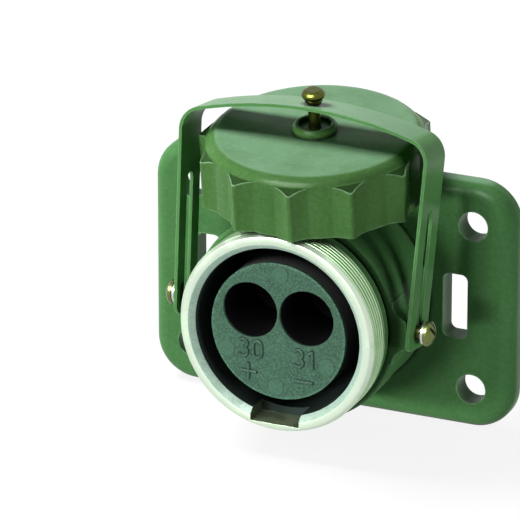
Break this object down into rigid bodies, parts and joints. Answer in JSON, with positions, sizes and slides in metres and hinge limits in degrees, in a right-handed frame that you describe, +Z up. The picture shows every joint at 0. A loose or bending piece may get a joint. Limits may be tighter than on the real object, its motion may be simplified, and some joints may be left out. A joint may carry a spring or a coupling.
{
  "type": "vehicle power socket",
  "caption": "Panel socket for a heavy power plug: flanged housing, threaded nose, insulating insert with contacts, and a screw cap on a slotted bail.",
  "frame": {"origin": "middle of the flange's rear mounting face, on the axis of the socket", "axes": "-Y out of the socket's mouth, +Y into the panel, +Z up towards the open cap, +X right seen from the front"},
  "size_m": [0.1142, 0.0695, 0.104],
  "materials": {
    "housing_paint": "semi-gloss green enamel, worn",
    "bail_paint": "semi-gloss green enamel, worn",
    "cap_paint": "semi-gloss green enamel, worn",
    "bare_alloy": "turned, bare",
    "dark_moulding": "matt moulded",
    "seal_rubber": "matt",
    "plated_contact": "silver plated",
    "brass_fittings": "dull",
    "steel_fittings": "plain"
  },
  "bodies": {
    "socket": {"housing": "housing_paint", "thread_ring": "bare_alloy", "insert": "dark_moulding", "insert_seal": "seal_rubber", "retaining_ring": "steel_fittings", "contact_left": "plated_contact", "contact_right": "plated_contact", "band_left": "steel_fittings", "band_right": "steel_fittings", "clip_left": "steel_fittings", "clip_right": "steel_fittings", "pivot_screw_left": "brass_fittings", "pivot_screw_right": "brass_fittings", "pivot_washer_left": "steel_fittings", "pivot_washer_right": "steel_fittings"},
    "pivots": {"pivot_bush_left": "brass_fittings", "pivot_bush_right": "brass_fittings"},
    "bail": {"bail": "bail_paint"},
    "pin": {"cap_pin": "brass_fittings", "pin_collar": "brass_fittings", "pin_washer": "steel_fittings"},
    "cap": {"cap": "cap_paint", "cap_gasket": "seal_rubber"}
  },
  "joints": [
    {"name": "bail_swing", "type": "hinge", "parent": "socket", "child": "pivots", "pos_m": [0, -0.0297, 0], "axis": [1, 0, 0], "range_deg": [0, 99]},
    {"name": "bail_slide", "type": "slide", "parent": "pivots", "child": "bail", "axis": [0, -0.1564, -0.9877], "range_m": [0, 0.01615]},
    {"name": "cap_tilt", "type": "hinge", "parent": "bail", "child": "pin", "pos_m": [0, -0.02009, 0.06064], "axis": [-1, 0, 0], "range_deg": [0, 16.1]},
    {"name": "cap_spin", "type": "hinge", "parent": "pin", "child": "cap", "pos_m": [0, -0.02009, 0.06064], "axis": [0, -0.1219, 0.9925], "continuous": true}
  ],
  "couplings": [
    {"joint": "bail_slide", "follows": "bail_swing", "m_per_rad": 0.0092874},
    {"joint": "cap_tilt", "follows": "bail_swing", "ratio": 0.16162}
  ]
}
